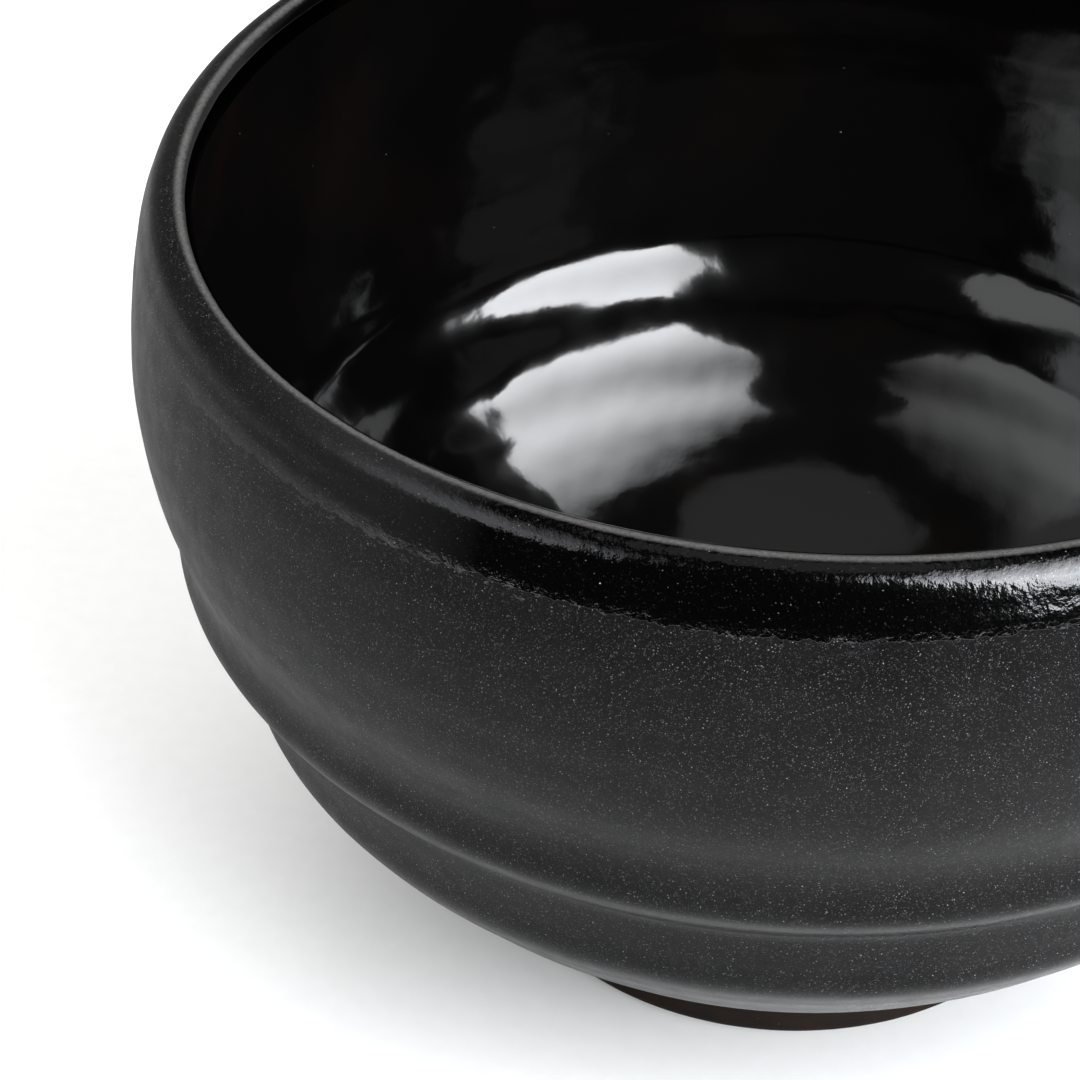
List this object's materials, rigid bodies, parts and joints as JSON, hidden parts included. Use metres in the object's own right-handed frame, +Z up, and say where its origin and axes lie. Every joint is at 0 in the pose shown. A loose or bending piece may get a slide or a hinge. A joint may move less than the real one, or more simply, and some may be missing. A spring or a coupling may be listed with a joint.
{
  "type": "matcha bowl",
  "caption": "Round wheel-thrown stoneware tea bowl with an incurved lip, throwing rings, a turned foot ring, a matte charcoal outside and a glossy black inside.",
  "frame": {"origin": "middle of the foot ring's sole, on the surface the bowl stands on", "axes": "+Z up along the throwing axis; +X and +Y are any two directions square to it, because the bowl is round"},
  "size_m": [0.1202, 0.1202, 0.076],
  "materials": {
    "bare_clay": "unglazed fired stoneware",
    "foot_clay": "unglazed, turned and wiped smooth",
    "gloss_glaze": "high gloss black",
    "rim_glaze": "gloss black with an orange-peel skin",
    "matte_glaze": "matte to satin charcoal with fine pale specks"
  },
  "bodies": {
    "root": {"stoneware_body": "bare_clay", "foot_ring": "foot_clay", "inner_gloss_glaze": "gloss_glaze", "rim_gloss_band": "rim_glaze", "outer_matte_glaze": "matte_glaze"}
  },
  "joints": []
}
